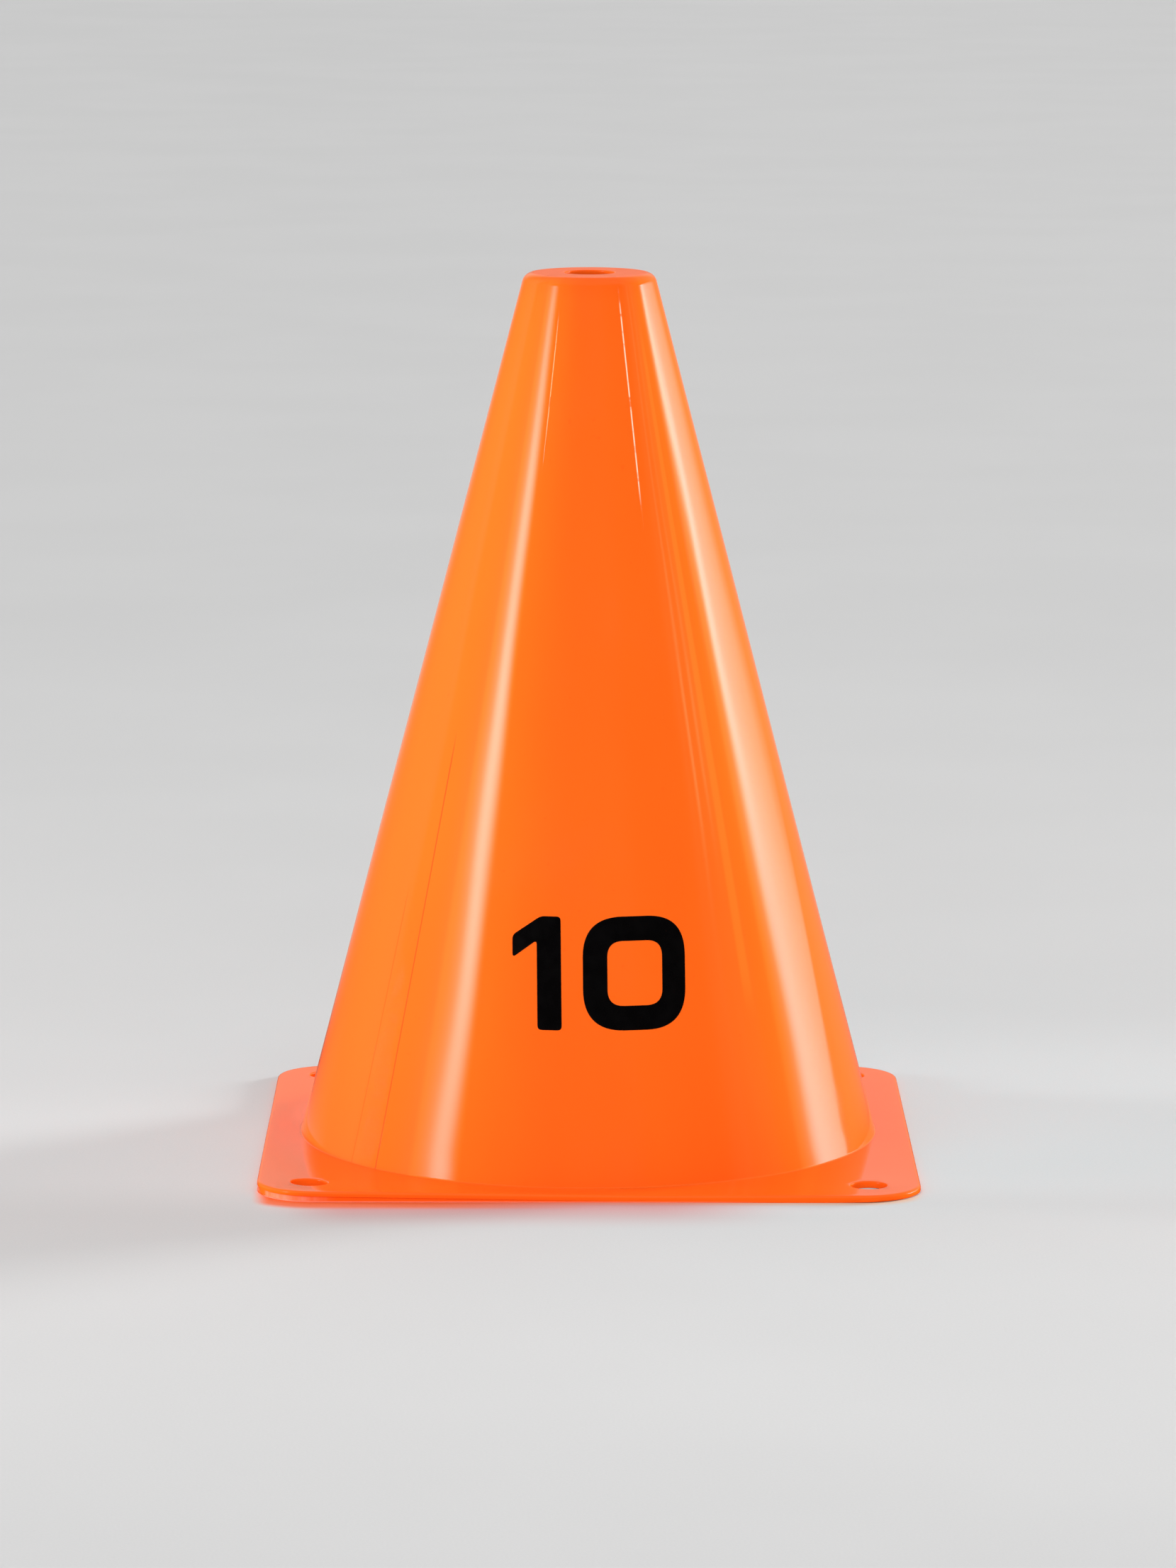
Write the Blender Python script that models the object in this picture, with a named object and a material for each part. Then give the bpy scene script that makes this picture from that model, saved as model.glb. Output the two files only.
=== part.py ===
"""Training cone of thin glossy plastic: a hollow cone seated in a square base plate.

Metres, +Z up. The origin is on the floor under the middle of the cone, and -Y is the front.
Nothing moves: the cone and the plate are fixed to each other at the foot of the cone.
"""
import math

import bmesh
import bpy
from mathutils import Matrix

# Driving sizes of the cone
cone_height = 0.2300
foot_radius = 0.0763
crown_radius = 0.0170
wall = 0.0015
crown_round = 0.0030
crown_hole_radius = 0.0066
hem_round = 0.0004
inner_round_share = 0.25

# Driving sizes of the base plate, whose border runs from the cone's foot to a straight side
plate_border = 0.00895
plate_thickness = 0.0018
plate_corner_radius = 0.0155
rim_round_share = 0.5
seat_depth_share = 0.45
peg_hole_radius = 0.00465
peg_hole_inset = 0.0135

# Fits and cuts
clearance = 0.0003
overrun = 0.0010
merge_distance = 0.00001

# Steps along the round shapes
turn_steps = 96
crown_steps = 6
hem_steps = 4
plate_corner_steps = 8
rim_steps = 3
peg_hole_steps = 32
smooth_below = math.radians(35)

# Side of the cone: its outside is foot_radius wide at the plate's upper face
taper = (foot_radius - crown_radius) / (cone_height - plate_thickness)
lean = math.atan(taper)
wall_across = wall / math.cos(lean)
corner_turn = math.pi / 2 - lean

# Seat of the cone's foot, a step around the plate's opening
plate_half_width = foot_radius + plate_border
seat_depth = plate_thickness * seat_depth_share
seat_floor = plate_thickness - seat_depth
hem_reach = hem_round * math.tan(corner_turn / 2)
hem_radius = foot_radius + hem_reach
seat_radius = hem_radius + clearance
opening_radius = foot_radius + taper * plate_thickness - wall_across

# Colours as linear red, green and blue
cone_orange = (1.0, 0.142, 0.012)
plate_orange = (1.0, 0.150, 0.014)
gloss_roughness = 0.1


def side_radius(height):
    """Radius of the cone's straight outer side at a height above the floor."""
    return foot_radius - taper * (height - plate_thickness)


def arc(centre, radius, start, end, steps):
    """Points on an arc about a centre, with both of its ends."""
    points = []
    for step in range(steps + 1):
        angle = start + (end - start) * step / steps
        points.append((centre[0] + radius * math.cos(angle), centre[1] + radius * math.sin(angle)))
    return points


def plate_outline():
    """Points (x, y) of a square with round corners, anticlockwise from the +X side."""
    middle = plate_half_width - plate_corner_radius
    points = []
    for quarter, (side_x, side_y) in enumerate(((1, 1), (-1, 1), (-1, -1), (1, -1))):
        start = quarter * math.pi / 2
        centre = (side_x * middle, side_y * middle)
        points += arc(centre, plate_corner_radius, start, start + math.pi / 2, plate_corner_steps)
    return points


def cone_outline():
    """Closed outline (radius, height) of the shell: up the outside, in to the hole, down the inside."""
    hem_centre = (hem_radius, plate_thickness + hem_round)
    hem = arc(hem_centre, hem_round, 1.5 * math.pi, math.pi + lean, hem_steps)

    crown_reach = crown_round * math.tan(corner_turn / 2)
    crown_centre = (crown_radius - crown_reach, cone_height - crown_round)
    crown = arc(crown_centre, crown_round, lean, math.pi / 2, crown_steps)

    disc_underside = cone_height - wall
    inner_corner = side_radius(disc_underside) - wall_across
    inner_round = max(crown_round - wall, wall * inner_round_share)
    inner_reach = inner_round * math.tan(corner_turn / 2)
    inner_centre = (inner_corner - inner_reach, disc_underside - inner_round)
    inner = arc(inner_centre, inner_round, math.pi / 2, lean, crown_steps)

    foot_underside = seat_floor + clearance
    hole = [(crown_hole_radius, cone_height), (crown_hole_radius, disc_underside)]
    foot = [(side_radius(foot_underside) - wall_across, foot_underside), (hem_radius, foot_underside)]
    return hem + crown + hole + inner + foot


def glossy_plastic(name, colour):
    """Glossy moulded plastic of one colour."""
    material = bpy.data.materials.new(name)
    material.use_nodes = True
    shader = material.node_tree.nodes["Principled BSDF"]
    shader.inputs["Base Color"].default_value = (*colour, 1.0)
    shader.inputs["Roughness"].default_value = gloss_roughness
    shader.inputs["Metallic"].default_value = 0.0
    return material


def object_from(bm, name, parent):
    """Turns a bmesh into an object under its parent, shaded smooth between its sharp edges."""
    bmesh.ops.recalc_face_normals(bm, faces=bm.faces)
    mesh = bpy.data.meshes.new(name)
    bm.to_mesh(mesh)
    bm.free()
    mesh.shade_smooth()
    mesh.set_sharp_from_angle(angle=smooth_below)
    thing = bpy.data.objects.new(name, mesh)
    thing.parent = parent
    bpy.context.collection.objects.link(thing)
    return thing


def make_cone_body(parent):
    """The hollow cone, turned about Z from its closed outline."""
    bm = bmesh.new()
    corners = [bm.verts.new((radius, 0, height)) for radius, height in cone_outline()]
    edges = [bm.edges.new((corner, corners[place - 1])) for place, corner in enumerate(corners)]
    bmesh.ops.spin(bm, geom=corners + edges, cent=(0, 0, 0), axis=(0, 0, 1), dvec=(0, 0, 0),
                   angle=2 * math.pi, steps=turn_steps, use_merge=True, use_duplicate=False)
    bmesh.ops.remove_doubles(bm, verts=bm.verts, dist=merge_distance)
    body = object_from(bm, "cone_body", parent)
    body.data.materials.append(glossy_plastic("cone_plastic", cone_orange))
    return body


def cut_round_hole(plate, name, radius, bottom, place, steps):
    """Cuts an upright round hole into the plate, from a height up through its upper face."""
    top = plate_thickness + overrun
    bm = bmesh.new()
    bmesh.ops.create_cone(bm, cap_ends=True, segments=steps, radius1=radius, radius2=radius,
                          depth=top - bottom, matrix=Matrix.Translation((0, 0, (top + bottom) / 2)))
    cutter = object_from(bm, name, plate)
    cutter.location = (place[0], place[1], 0)
    cutter.hide_render = True
    cutter.display_type = "WIRE"
    cut = plate.modifiers.new(name, "BOOLEAN")
    cut.operation = "DIFFERENCE"
    cut.solver = "EXACT"
    cut.object = cutter


def make_base_plate(parent):
    """The square plate with round corners, a stepped opening for the cone and four peg holes."""
    bm = bmesh.new()
    outline = [bm.verts.new((x, y, 0)) for x, y in plate_outline()]
    underside = bm.faces.new(outline)
    raised = bmesh.ops.extrude_face_region(bm, geom=[underside], use_keep_orig=True)["geom"]
    upper = [item for item in raised if isinstance(item, bmesh.types.BMVert)]
    bmesh.ops.translate(bm, verts=upper, vec=(0, 0, plate_thickness))
    rim = [item for item in raised if isinstance(item, bmesh.types.BMEdge)]
    bmesh.ops.bevel(bm, geom=rim, offset=plate_thickness * rim_round_share, offset_type="OFFSET",
                    segments=rim_steps, profile=0.5, affect="EDGES")
    plate = object_from(bm, "base_plate", parent)
    plate.data.materials.append(glossy_plastic("plate_plastic", plate_orange))

    cut_round_hole(plate, "cone_opening_cut", opening_radius, -overrun, (0, 0), turn_steps)
    cut_round_hole(plate, "cone_seat_cut", seat_radius, seat_floor, (0, 0), turn_steps)
    peg_reach = plate_half_width - peg_hole_inset
    for side, x in (("left", -peg_reach), ("right", peg_reach)):
        for end, y in (("front", -peg_reach), ("back", peg_reach)):
            name = f"peg_hole_cut_{side}_{end}"
            cut_round_hole(plate, name, peg_hole_radius, -overrun, (x, y), peg_hole_steps)
    return plate


def main():
    """Clears the scene and builds the two pieces under one empty."""
    for thing in list(bpy.data.objects):
        bpy.data.objects.remove(thing, do_unlink=True)
    training_cone = bpy.data.objects.new("training_cone", None)
    bpy.context.collection.objects.link(training_cone)
    make_cone_body(training_cone)
    make_base_plate(training_cone)


main()
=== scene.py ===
"""Looks of the training cone: fine surfaces, glossy plastic, floor, lamps and camera.

Metres, +Z up, -Y to the front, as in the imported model. Azimuths are in degrees about Z,
0 at the front and growing to the right (+X).
"""
import math
from collections import namedtuple

import bmesh
import bpy
import numpy as np
from mathutils import Matrix, Vector


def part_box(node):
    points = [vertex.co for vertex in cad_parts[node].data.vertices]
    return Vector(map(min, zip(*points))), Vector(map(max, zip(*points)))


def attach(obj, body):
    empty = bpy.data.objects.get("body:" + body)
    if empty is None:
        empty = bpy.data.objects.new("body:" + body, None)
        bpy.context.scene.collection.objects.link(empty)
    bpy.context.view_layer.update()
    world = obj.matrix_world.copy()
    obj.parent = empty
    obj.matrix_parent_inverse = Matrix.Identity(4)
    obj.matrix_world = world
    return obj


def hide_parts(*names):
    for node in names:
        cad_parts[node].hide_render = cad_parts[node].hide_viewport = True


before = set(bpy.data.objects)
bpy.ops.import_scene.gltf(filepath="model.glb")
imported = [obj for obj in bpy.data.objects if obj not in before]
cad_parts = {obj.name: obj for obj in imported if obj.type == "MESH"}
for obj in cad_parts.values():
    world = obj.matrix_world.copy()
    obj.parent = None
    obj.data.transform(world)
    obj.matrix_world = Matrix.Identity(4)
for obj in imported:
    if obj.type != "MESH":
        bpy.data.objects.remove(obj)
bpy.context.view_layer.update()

# Sizes read from the frame
plate_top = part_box("base_plate")[1].z
plate_half_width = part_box("base_plate")[1].x
cone_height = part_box("cone_body")[1].z

# Sizes that the solids have too
foot_radius = 0.0763
crown_radius = 0.0170
wall = 0.0015
crown_round = 0.0030
crown_hole_radius = 0.0066
hem_round = 0.0004
plate_corner_radius = 0.0155
rim_round = 0.0009
seat_depth = 0.00081
peg_hole_radius = 0.00465
peg_hole_inset = 0.0135
seat_gap = 0.0003

# Sizes of the fine shapes alone
lip_round = 0.0004
underside_round = 0.0001
hem_fit = 0.00003
low_lip = 0.00024

taper = (foot_radius - crown_radius) / (cone_height - plate_top)
lean = math.atan(taper)
wall_across = wall / math.cos(lean)
corner_turn = math.pi / 2 - lean
hem_reach = hem_round * math.tan(corner_turn / 2)
hem_radius = foot_radius + hem_reach
seat_floor = plate_top - seat_depth
opening_radius = foot_radius + taper * plate_top - wall_across
seat_edge = hem_radius + hem_fit
corner_centre = plate_half_width - plate_corner_radius
peg_hole_reach = plate_half_width - peg_hole_inset


# Camera

photo_height = 2212
sensor = 36.0
focal_pixels = 10364.4
camera_distance = 1.9176
camera_height = 0.4002
camera_aside = 0.00017
camera_pitch = 0.15809
camera_heading = 0.00374
camera_roll = 0.00174


def new_object(name, data):
    """An object of some data, linked to the scene."""
    thing = bpy.data.objects.new(name, data)
    bpy.context.scene.collection.objects.link(thing)
    return thing


def make_camera():
    """The photograph's camera: a long lens a little above the cone, tilted down."""
    data = bpy.data.cameras.new("camera")
    data.sensor_width = sensor
    data.lens = focal_pixels / photo_height * sensor
    data.clip_start = 0.1
    data.clip_end = 100.0
    camera = new_object("camera", data)
    turn = Matrix.Rotation(-camera_heading, 4, "Z")
    tilt = Matrix.Rotation(math.pi / 2 - camera_pitch, 4, "X")
    roll = Matrix.Rotation(camera_roll, 4, "Z")
    place = turn @ Vector((-camera_aside, -camera_distance, camera_height))
    camera.matrix_world = Matrix.Translation(place) @ turn @ tilt @ roll
    bpy.context.scene.camera = camera


# Node helpers

def set_inputs(node, values):
    """Puts sockets or plain values on a node's named or numbered inputs; a plain colour is opaque."""
    for name, value in values.items():
        entry = node.inputs[name]
        if isinstance(value, bpy.types.NodeSocket):
            node.id_data.links.new(value, entry)
        elif entry.type == "RGBA":
            entry.default_value = (*value, 1.0)
        else:
            entry.default_value = value


def add_node(kind, values, output=0, tree=None, **settings):
    """An output of a new node with values and settings, in a tree or that of the first socket given."""
    sockets = [value for value in values.values() if isinstance(value, bpy.types.NodeSocket)]
    node = (tree or sockets[0].id_data).nodes.new("ShaderNode" + kind)
    for name, value in settings.items():
        setattr(node, name, value)
    set_inputs(node, values)
    return node.outputs[output]


def math_node(operation, *values, clamp=False):
    """A Math node's result for sockets and plain numbers."""
    return add_node("Math", dict(enumerate(values)), operation=operation, use_clamp=clamp)


def product(first, *others):
    """The product of levels."""
    for other in others:
        first = math_node("MULTIPLY", first, other)
    return first


def total(first, *others):
    """The sum of levels."""
    for other in others:
        first = math_node("ADD", first, other)
    return first


def flat_length(across, deep):
    """The length of a vector in the floor's plane."""
    return math_node("SQRT", total(product(across, across), product(deep, deep)))


def decaying(value):
    """1 where a value is above 0, and its exponential below."""
    return math_node("EXPONENT", math_node("MINIMUM", value, 0.0))


def smooth(value, low, high, low_level=0.0, high_level=1.0):
    """A level that runs smoothly from low_level to high_level as a value goes from low to high."""
    ends = {"From Min": low, "From Max": high, "To Min": low_level, "To Max": high_level}
    return add_node("MapRange", {"Value": value, **ends}, interpolation_type="SMOOTHSTEP")


def falling(value, low, high):
    """A level that runs smoothly from 1 to 0 as a value goes from low to high."""
    return smooth(value, low, high, 1.0, 0.0)


def end_fades(value, low, high, fade):
    """Two levels whose product is 1 between low and high, and fades to 0 at both ends."""
    return smooth(value, low, low + fade), falling(value, high - fade, high)


def axes_of(vector):
    """The X, Y and Z of a vector."""
    return add_node("SeparateXYZ", {"Vector": vector}, slice(None))


def turn_share(azimuth):
    """An azimuth in degrees as a share of the whole turn: 0 behind, 0.5 at the front."""
    return azimuth / 360.0 + 0.5


def turn_node(vector):
    """A vector's azimuth as a share of the whole turn."""
    across, deep, _ = axes_of(vector)
    angle = math_node("ARCTAN2", across, product(deep, -1.0))
    return math_node("MULTIPLY_ADD", angle, 1 / (2 * math.pi), 0.5)


def grey(level):
    """A neutral colour of a level."""
    return (level, level, level)


def ramp_node(factor, stops):
    """A Color Ramp through the stops (place, colour)."""
    output = add_node("ValToRGB", {"Fac": factor})
    ramp = output.node.color_ramp
    while len(ramp.elements) < len(stops):
        ramp.elements.new(1.0)
    for element, (place, colour) in zip(ramp.elements, stops):
        element.position = place
        element.color = (*colour, 1.0)
    return output


def mixed(factor, first, second, blend="MIX"):
    """A blend of two colours."""
    return add_node("Mix", {0: factor, 6: first, 7: second}, 2, data_type="RGBA", blend_type=blend)


def multiplied(first, second):
    """The product of two colours."""
    return mixed(1.0, first, second, "MULTIPLY")


def noise_node(vector, scale, detail=2.0, roughness=0.5, distortion=0.0):
    """The level of a Noise Texture on a vector."""
    shape = {"Scale": scale, "Detail": detail, "Roughness": roughness, "Distortion": distortion}
    return add_node("TexNoise", {"Vector": vector, **shape})


def stretched(vector, scales):
    """A vector with each axis scaled by its own factor."""
    return add_node("Mapping", {"Vector": vector, "Scale": scales})


def new_material(name):
    """A material, its shader and the coordinates of the object that wears it."""
    material = bpy.data.materials.new(name)
    material.use_nodes = True
    tree = material.node_tree
    place = add_node("TexCoord", {}, "Object", tree)
    return material, tree.nodes["Principled BSDF"], place


# Surroundings

ambient_level = 0.86

# Levels that glossy surfaces see round the object, by azimuth in degrees, where 1 is white
surround_tones = (
    (-180, 0.38), (-166, 0.42), (-159, 0.28), (-151, 0.13), (-144, 0.07), (-134, 0.10), (-128, 0.13),
    (-121, 0.17), (-113, 0.23), (-109, 0.27), (-104.4, 0.24), (-103.8, 0.11), (-94, 0.11), (-86, 0.14),
    (-82, 0.18), (-78, 0.25), (-74, 0.10), (-53, 0.0), (58, 0.0), (63, 0.06), (83, 0.07), (86, 0.02),
    (97, 0.03), (143, 0.19), (150, 0.21), (156, 0.22), (160, 0.26), (165, 0.34), (180, 0.38),
)
front_tone = 0.02

# Two steps up at which these levels grow: low end, high end, and the factors there
tone_steps = ((0.150, 0.168, 1.0, 1.22), (0.200, 0.218, 1.0, 1.16))

# The sky overhead: where it takes over from the surroundings, and its level
sky_ends = (0.5, 0.8)
sky_tone = 0.22

# Streaks on the right: shares of their colour by azimuth, and the slanting window that they show in
streak_tones = ((61.6, 0.0), (62.2, 0.10), (63.0, 0.10), (63.6, 0.0), (66.8, 0.0), (67.3, 1.0), (68.0, 1.0),
                (68.5, 0.02), (73.6, 0.02), (74.1, 0.65), (74.7, 0.65), (75.2, 0.06), (80.6, 0.08),
                (82.4, 0.0))
streak_colour = (2.6, 2.6, 1.2)
streak_slant = 0.65
streak_drop = 0.447
streak_foot = (0.240, 0.262, 0.05, 1.0)
streak_head = (0.270, 0.300, 1.0, 0.35)

# The far surroundings are a little warm
warm = (1.0, 0.97, 0.80)
warm_tones = ((-180, warm), (-152, warm), (-140, grey(1.0)), (140, grey(1.0)), (152, warm), (180, warm))


def tones_node(turn, tones):
    """The level at an azimuth, from tones (degrees, level)."""
    return ramp_node(turn, [(turn_share(azimuth), grey(level)) for azimuth, level in tones])


def surround_node(turn):
    """The level that glossy surfaces see at an azimuth, without the lamps."""
    return total(tones_node(turn, surround_tones), front_tone)


def warmed(level, turn):
    """A level as a colour that is a little warm towards the back."""
    warmth = ramp_node(turn, [(turn_share(azimuth), colour) for azimuth, colour in warm_tones])
    return multiplied(level, warmth)


def emission_or(shader, colour):
    """A shader that glossy rays see as an even glow of a colour instead."""
    glow = add_node("Emission", {"Color": colour})
    is_glossy = add_node("LightPath", {}, "Is Glossy Ray", colour.id_data)
    return add_node("MixShader", {"Fac": is_glossy, 1: shader, 2: glow})


def make_world():
    """Even white light, and darker surroundings with a few bright streaks for what shines."""
    world = bpy.data.worlds.new("studio")
    bpy.context.scene.world = world
    world.use_nodes = True
    tree = world.node_tree
    tree.nodes.clear()
    light = add_node("Background", {"Color": grey(1.0), "Strength": ambient_level}, tree=tree)
    direction = add_node("TexCoord", {}, "Generated", tree)
    rise = axes_of(direction)[2]
    turn = turn_node(direction)
    lift = product(*[smooth(rise, *step) for step in tone_steps])
    walls = product(surround_node(turn), lift)
    tone = total(product(walls, falling(rise, *sky_ends)), smooth(rise, *sky_ends, 0.0, sky_tone))
    slant = math_node("MULTIPLY_ADD", turn, streak_slant, rise)
    slant = math_node("SUBTRACT", slant, streak_drop)
    window = product(smooth(slant, *streak_foot), smooth(slant, *streak_head))
    streaks = product(tones_node(turn, streak_tones), window)
    streaks = mixed(streaks, grey(0.0), streak_colour)
    seen = mixed(1.0, warmed(tone, turn), streaks, "ADD")
    set_inputs(tree.nodes.new("ShaderNodeOutputWorld"), {"Surface": emission_or(light, seen)})


# Floor

floor_radius = 14.0
floor_steps = 96

# Tone of the floor by distance behind the cone, and its small change from left to right
floor_reach = 6.0
floor_tones = ((-0.60, 0.538), (-0.43, 0.553), (-0.30, 0.582), (-0.20, 0.588), (0.0, 0.578),
               (0.35, 0.530), (1.0, 0.494), (2.1, 0.484), (5.7, 0.473))
floor_sides = (-0.30, 0.30, 0.988, 1.012)

# Clouds and grain of the floor: noise scale and detail, and two noise levels with the factors there
floor_noises = ((7.0, 2.0, (0.3, 0.7, 0.99, 1.01)), (1600.0, 1.0, (0.2, 0.8, 0.985, 1.015)))

# The object takes light from the floor beside it, and the floor's tone makes up for that: where this
# starts and ends to fall off to the back and its share, its reach, and where it begins in front
beside_left = (-0.02, 0.09, 0.160)
beside_right = (0.06, 0.20, 0.130)
beside_reach = 0.075
beside_front = (-0.105, -0.055)

# The red that the orange pieces throw on the floor is evened out: its reach, and two places across
# and two places deep with the shares there. The blue takes a share of the opposite change.
red_reach = 0.085
red_across = (-0.09, 0.09, 0.130, 0.235)
red_deep = (-0.13, -0.02, 0.40, 1.0)
blue_share = 0.2

# Painted orange glow on the floor along the plate's front edge, which gives it a rosy tone: its share,
# its reach to the front, and the places between which it fades under the plate, on the left and on the right
rosy_glow_share = 0.44
rosy_glow_reach = 0.033
rosy_glow_back = (-0.080, -0.060)
rosy_glow_left = (-0.082, -0.060)
rosy_glow_right = (0.015, 0.055)

# Fringe of painted light and shade on the floor along the plate's front edge, as factors of the red, green
# and blue of its colour: a painted orange glow near the edge and wider, painted light that lifts the shadow
# on the right part, and painted orange-lit shade, deepest, under the raised border on the left part. Pairs
# are the places between which it fades.
painted_fringe_back = (-0.079, -0.066)
painted_fringe_sides = (0.0815, 0.0868)
near_glow_reach = 0.0045
near_glow = (1.22, 0.82, 0.60)
wide_glow_reach = 0.018
wide_glow_end = (0.030, 0.080)
wide_glow = (1.20, 1.0, 1.0)
right_light_start = (-0.030, 0.010)
right_light = (1.0, 1.10, 1.10)
left_shade_reach = (0.0042, 0.0090)
left_shade_end = (-0.045, 0.010)
left_lit_shade = (1.36, 0.34, 0.17)
left_lit_shade_close = (1.36, 0.25, 0.075)


def beside_node(across, deep):
    """A factor for the floor's tone: above 1 left and right of the plate, and 1 elsewhere."""
    front = smooth(deep, *beside_front)
    edge = plate_half_width / beside_reach
    factor = 1.0
    for side, (start, end, share) in ((-1, beside_left), (1, beside_right)):
        away = math_node("MULTIPLY_ADD", across, side / beside_reach, -edge)
        inner = smooth(away, -edge, 0.0, 0.0, share)
        window = product(front, falling(deep, start, end))
        rise = product(decaying(product(away, -1.0)), inner, window)
        factor = total(factor, rise)
    return factor


def floor_tone(place, across, deep):
    """The floor's tone by depth and from side to side, with clouds, grain and the rise beside."""
    nearest = floor_tones[0][0]
    depth = math_node("MULTIPLY_ADD", deep, 1 / floor_reach, -nearest / floor_reach, clamp=True)
    stops = [((away - nearest) / floor_reach, grey(level)) for away, level in floor_tones]
    factors = [smooth(across, *floor_sides)]
    for scale, detail, levels in floor_noises:
        factors.append(smooth(noise_node(place, scale, detail), *levels))
    return product(ramp_node(depth, stops), *factors, beside_node(across, deep))


def red_node(across, deep):
    """A factor for the red of the floor's tone: below 1 near the object, and 1 far from it."""
    away = math_node("MULTIPLY_ADD", flat_length(across, deep), -1 / red_reach,
                     plate_half_width / red_reach)
    taken = product(decaying(away), smooth(across, *red_across), smooth(deep, *red_deep))
    return math_node("SUBTRACT", 1.0, taken)


def rosy_glow_node(across, deep):
    """A factor for the floor's green and blue: below 1 along the plate's front edge, a painted orange glow.
    """
    near = smooth(deep, -plate_half_width - rosy_glow_reach, -plate_half_width, 0.0, rosy_glow_share)
    near = product(near, falling(deep, *rosy_glow_back))
    side = product(smooth(across, *rosy_glow_left), falling(across, *rosy_glow_right))
    return math_node("SUBTRACT", 1.0, product(near, side))


def plate_distance(across, deep):
    """The distance on the floor from the plate's outline, in front of the plate."""
    beside = math_node("SUBTRACT", math_node("ABSOLUTE", across), corner_centre)
    beside = math_node("MAXIMUM", beside, 0.0)
    before = math_node("MULTIPLY_ADD", deep, -1.0, -corner_centre)
    before = math_node("MAXIMUM", before, 0.0)
    return math_node("SUBTRACT", flat_length(beside, before), plate_corner_radius)


def painted_fringe_on(colour, tone, across, deep):
    """The floor's colour with the fringe of painted orange glow, light and shade along the plate's front
    edge.
    """
    away = plate_distance(across, deep)
    front = product(falling(deep, *painted_fringe_back), falling(math_node("ABSOLUTE", across), *painted_fringe_sides))
    near = product(falling(away, 0.0, near_glow_reach), front)
    wide = product(falling(away, 0.0, wide_glow_reach), front, falling(across, *wide_glow_end))
    right = product(wide, smooth(across, *right_light_start))
    for weight, factors in ((near, near_glow), (wide, wide_glow), (right, right_light)):
        colour = multiplied(colour, mixed(weight, grey(1.0), factors))
    left = product(falling(away, *left_shade_reach), falling(across, *left_shade_end), front)
    deeper = multiplied(tone, mixed(near, left_lit_shade, left_lit_shade_close))
    return mixed(left, colour, deeper)


def make_floor():
    """A wide round floor of pale matt paper, whose tone falls off a little to the back."""
    bm = bmesh.new()
    bmesh.ops.create_circle(bm, cap_ends=True, segments=floor_steps, radius=floor_radius)
    mesh = bpy.data.meshes.new("floor")
    bm.to_mesh(mesh)
    bm.free()
    floor = new_object("floor", mesh)

    material, shader, place = new_material("floor_paper")
    across, deep, _ = axes_of(place)
    tone = floor_tone(place, across, deep)
    red = red_node(across, deep)
    green = product(tone, rosy_glow_node(across, deep))
    blue = product(green, math_node("MULTIPLY_ADD", red, -blue_share, 1 + blue_share))
    colour = add_node("CombineColor", {"Red": product(tone, red), "Green": green, "Blue": blue})
    set_inputs(shader, {"Base Color": painted_fringe_on(colour, tone, across, deep),
                        "Roughness": 0.9, "Specular IOR Level": 0.0})
    turn = turn_node(place)
    seen = emission_or(shader.outputs[0], warmed(surround_node(turn), turn))
    set_inputs(material.node_tree.nodes["Material Output"], {"Surface": seen})
    mesh.materials.append(material)


# Lamps

lamp_distance = 3.0

# Broad far lights: name, azimuth, elevation and spread in degrees, and level
suns = (
    ("sun_left", -100, 2.5, 12, 1.56),
    ("sun_right", 122, 4.5, 18, 2.36),
    ("sun_front", -17, 12, 80, 0.44),
)

# Panels: low and high end, tones (azimuth, level) from side to side and (share of the height, share of
# the level) from bottom to top, and the lean: two shares of the height, and its shares of the width
strip_span = (0.35, 1.50)
strip_sides = ((-79, 0.0), (-76, 0.12), (-73.6, 0.35), (-71.6, 0.7), (-70.0, 1.1), (-68.8, 1.5),
               (-67.6, 2.1), (-66.5, 3.0), (-65.4, 4.2), (-64.4, 5.2), (-63.4, 6.1), (-62.4, 6.6),
               (-60.8, 6.6), (-60.2, 6.3), (-59.2, 5.6), (-58.2, 4.6), (-57.2, 3.3), (-56.2, 2.0),
               (-55.4, 1.0), (-54.4, 0.35), (-53, 0.0))
strip_heights = ((0.0, 0.35), (0.32, 0.67), (0.42, 0.87), (0.50, 0.97), (0.57, 1.0), (0.64, 0.88),
                 (0.71, 0.85), (0.76, 0.66), (0.80, 0.55), (0.86, 0.3), (1.0, 0.0))
strip_lean = (0.45, 0.75, 0.0, 0.035)
panel_span = (0.075, 1.12)
panel_lean = (0.64, 0.84, 0.0, 0.085)
panel_sides = ((92, 0.0), (94.5, 0.1), (96, 0.2), (98, 0.4), (100, 0.7), (102, 1.9), (104, 3.2),
               (105.7, 3.85), (107.5, 4.0), (109.5, 3.8), (111.5, 3.45), (113.5, 3.0), (115.5, 2.65),
               (117.5, 2.35), (119.5, 2.05), (121.5, 1.8), (123.5, 1.55), (125.5, 1.35), (127, 1.2),
               (129, 1.05), (131, 0.9), (133, 0.72), (135, 0.52), (137, 0.38), (139, 0.26), (142, 0.12),
               (146, 0.0))
panel_heights = ((0.0, 0.0), (0.015, 1.0), (0.45, 1.0), (0.60, 0.88), (0.75, 0.78), (0.94, 0.75), (1.0, 0.3))
upper_sides = ((92, 0.0), (100, 0.0), (101.5, 0.3), (103, 1.3), (104.5, 2.5), (106, 2.9), (107.5, 2.5),
               (109, 1.8), (111, 0.9), (113, 0.3), (116, 0.0), (146, 0.0))
upper_heights = ((0.0, 0.0), (0.36, 0.0), (0.455, 0.4), (0.54, 0.75), (0.65, 1.0), (0.94, 1.0), (1.0, 0.3))
upper_distance = lamp_distance + 0.05

# Watts for each square metre of a panel of level 1
panel_power = 4.0


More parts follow.
